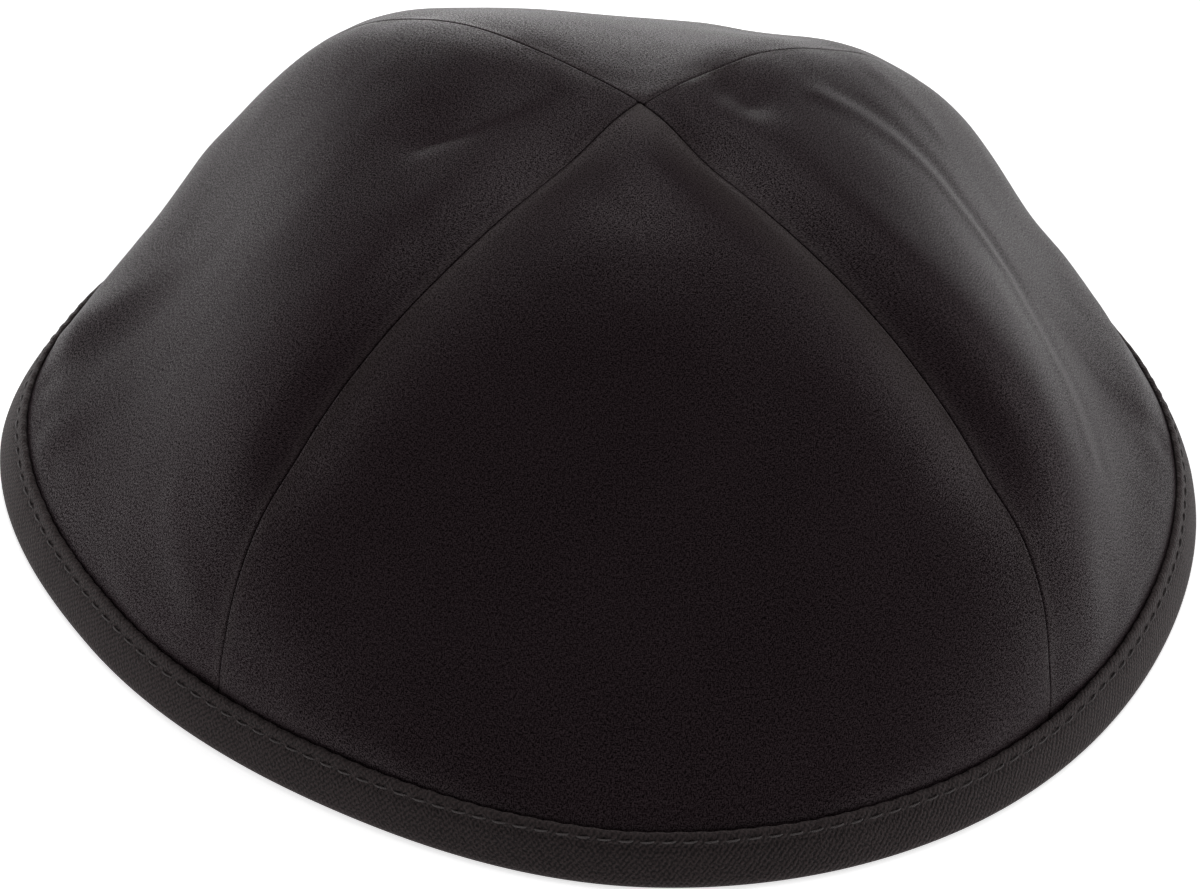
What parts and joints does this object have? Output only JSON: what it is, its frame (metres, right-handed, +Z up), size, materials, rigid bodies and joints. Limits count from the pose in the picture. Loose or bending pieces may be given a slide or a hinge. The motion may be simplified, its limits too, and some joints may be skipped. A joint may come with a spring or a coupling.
{
  "type": "kippah skullcap",
  "caption": "Shallow domed skullcap sewn from four curved cloth panels and edged with a folded, topstitched tape, hollow and open below, standing on its rim.",
  "frame": {"origin": "middle of the rim's outline, on the surface that the cap stands on", "axes": "+Z up through the crown, -Y towards the front panel, +X towards the right panel, to the right of a viewer who faces the front panel"},
  "size_m": [0.171, 0.1706, 0.0617],
  "materials": {
    "crown_cloth": "black fine twill with a soft satin sheen",
    "rim_tape": "black ribbed tape, matt, with one row of topstitching"
  },
  "bodies": {
    "root": {"front_panel": "crown_cloth", "right_panel": "crown_cloth", "back_panel": "crown_cloth", "left_panel": "crown_cloth", "rim_binding": "rim_tape"}
  },
  "joints": []
}
